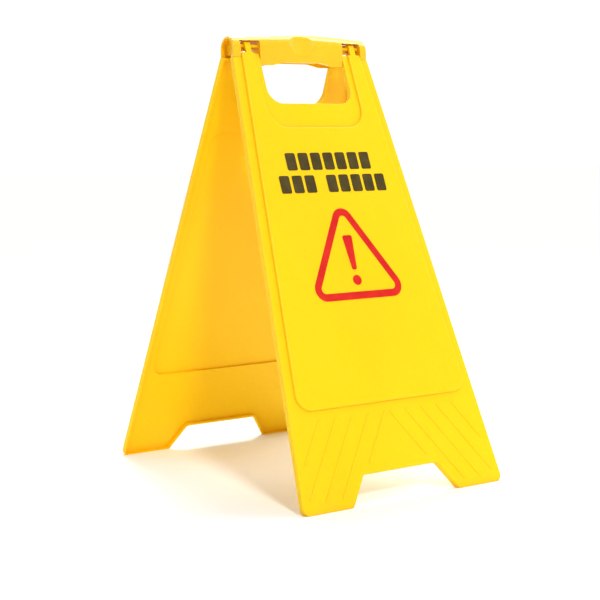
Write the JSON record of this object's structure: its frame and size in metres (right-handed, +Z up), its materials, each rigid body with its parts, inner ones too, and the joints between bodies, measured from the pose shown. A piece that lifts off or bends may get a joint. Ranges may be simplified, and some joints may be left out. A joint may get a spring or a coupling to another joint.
{
  "type": "folding floor sign",
  "caption": "Folding A-frame floor sign: tapered moulded leaves with notched feet and a raised printed panel, clipped to hinge pins in a rounded hollow carrying handle.",
  "frame": {"origin": "Centre of the footprint on the floor, below the middle of the handle.", "axes": "+Z up, +X along the hinge line across the printed faces, -Y the front face, +Y the rear face."},
  "size_m": [0.3034, 0.4476, 0.5656],
  "materials": {
    "leaf_plastic": "semi-gloss injection-moulded polypropylene, safety yellow",
    "handle_plastic": "semi-gloss injection-moulded polypropylene, safety yellow",
    "pin_plastic": "smooth moulded rod, yellow",
    "dark_print": "screen-printed dark brown-black ink",
    "red_print": "screen-printed red ink"
  },
  "bodies": {
    "handle": {"handle": "handle_plastic", "hinge_pin_front_left": "pin_plastic", "hinge_pin_front_right": "pin_plastic", "hinge_pin_rear_left": "pin_plastic", "hinge_pin_rear_right": "pin_plastic"},
    "front_leaf": {"front_leaf": "leaf_plastic", "front_print_line_one": "dark_print", "front_print_line_two": "dark_print", "front_warning_triangle": "red_print", "front_exclamation_mark": "red_print"},
    "rear_leaf": {"rear_leaf": "leaf_plastic", "rear_print_line_one": "dark_print", "rear_print_line_two": "dark_print", "rear_warning_triangle": "red_print", "rear_exclamation_mark": "red_print"}
  },
  "joints": [
    {"name": "front_leaf_hinge", "type": "hinge", "parent": "handle", "child": "front_leaf", "pos_m": [0, -0.007, 0.54857], "axis": [1, 0, 0], "range_deg": [0, 21.4]},
    {"name": "rear_leaf_hinge", "type": "hinge", "parent": "handle", "child": "rear_leaf", "pos_m": [0, 0.007, 0.54857], "axis": [-1, 0, 0], "range_deg": [0, 21.4]}
  ]
}
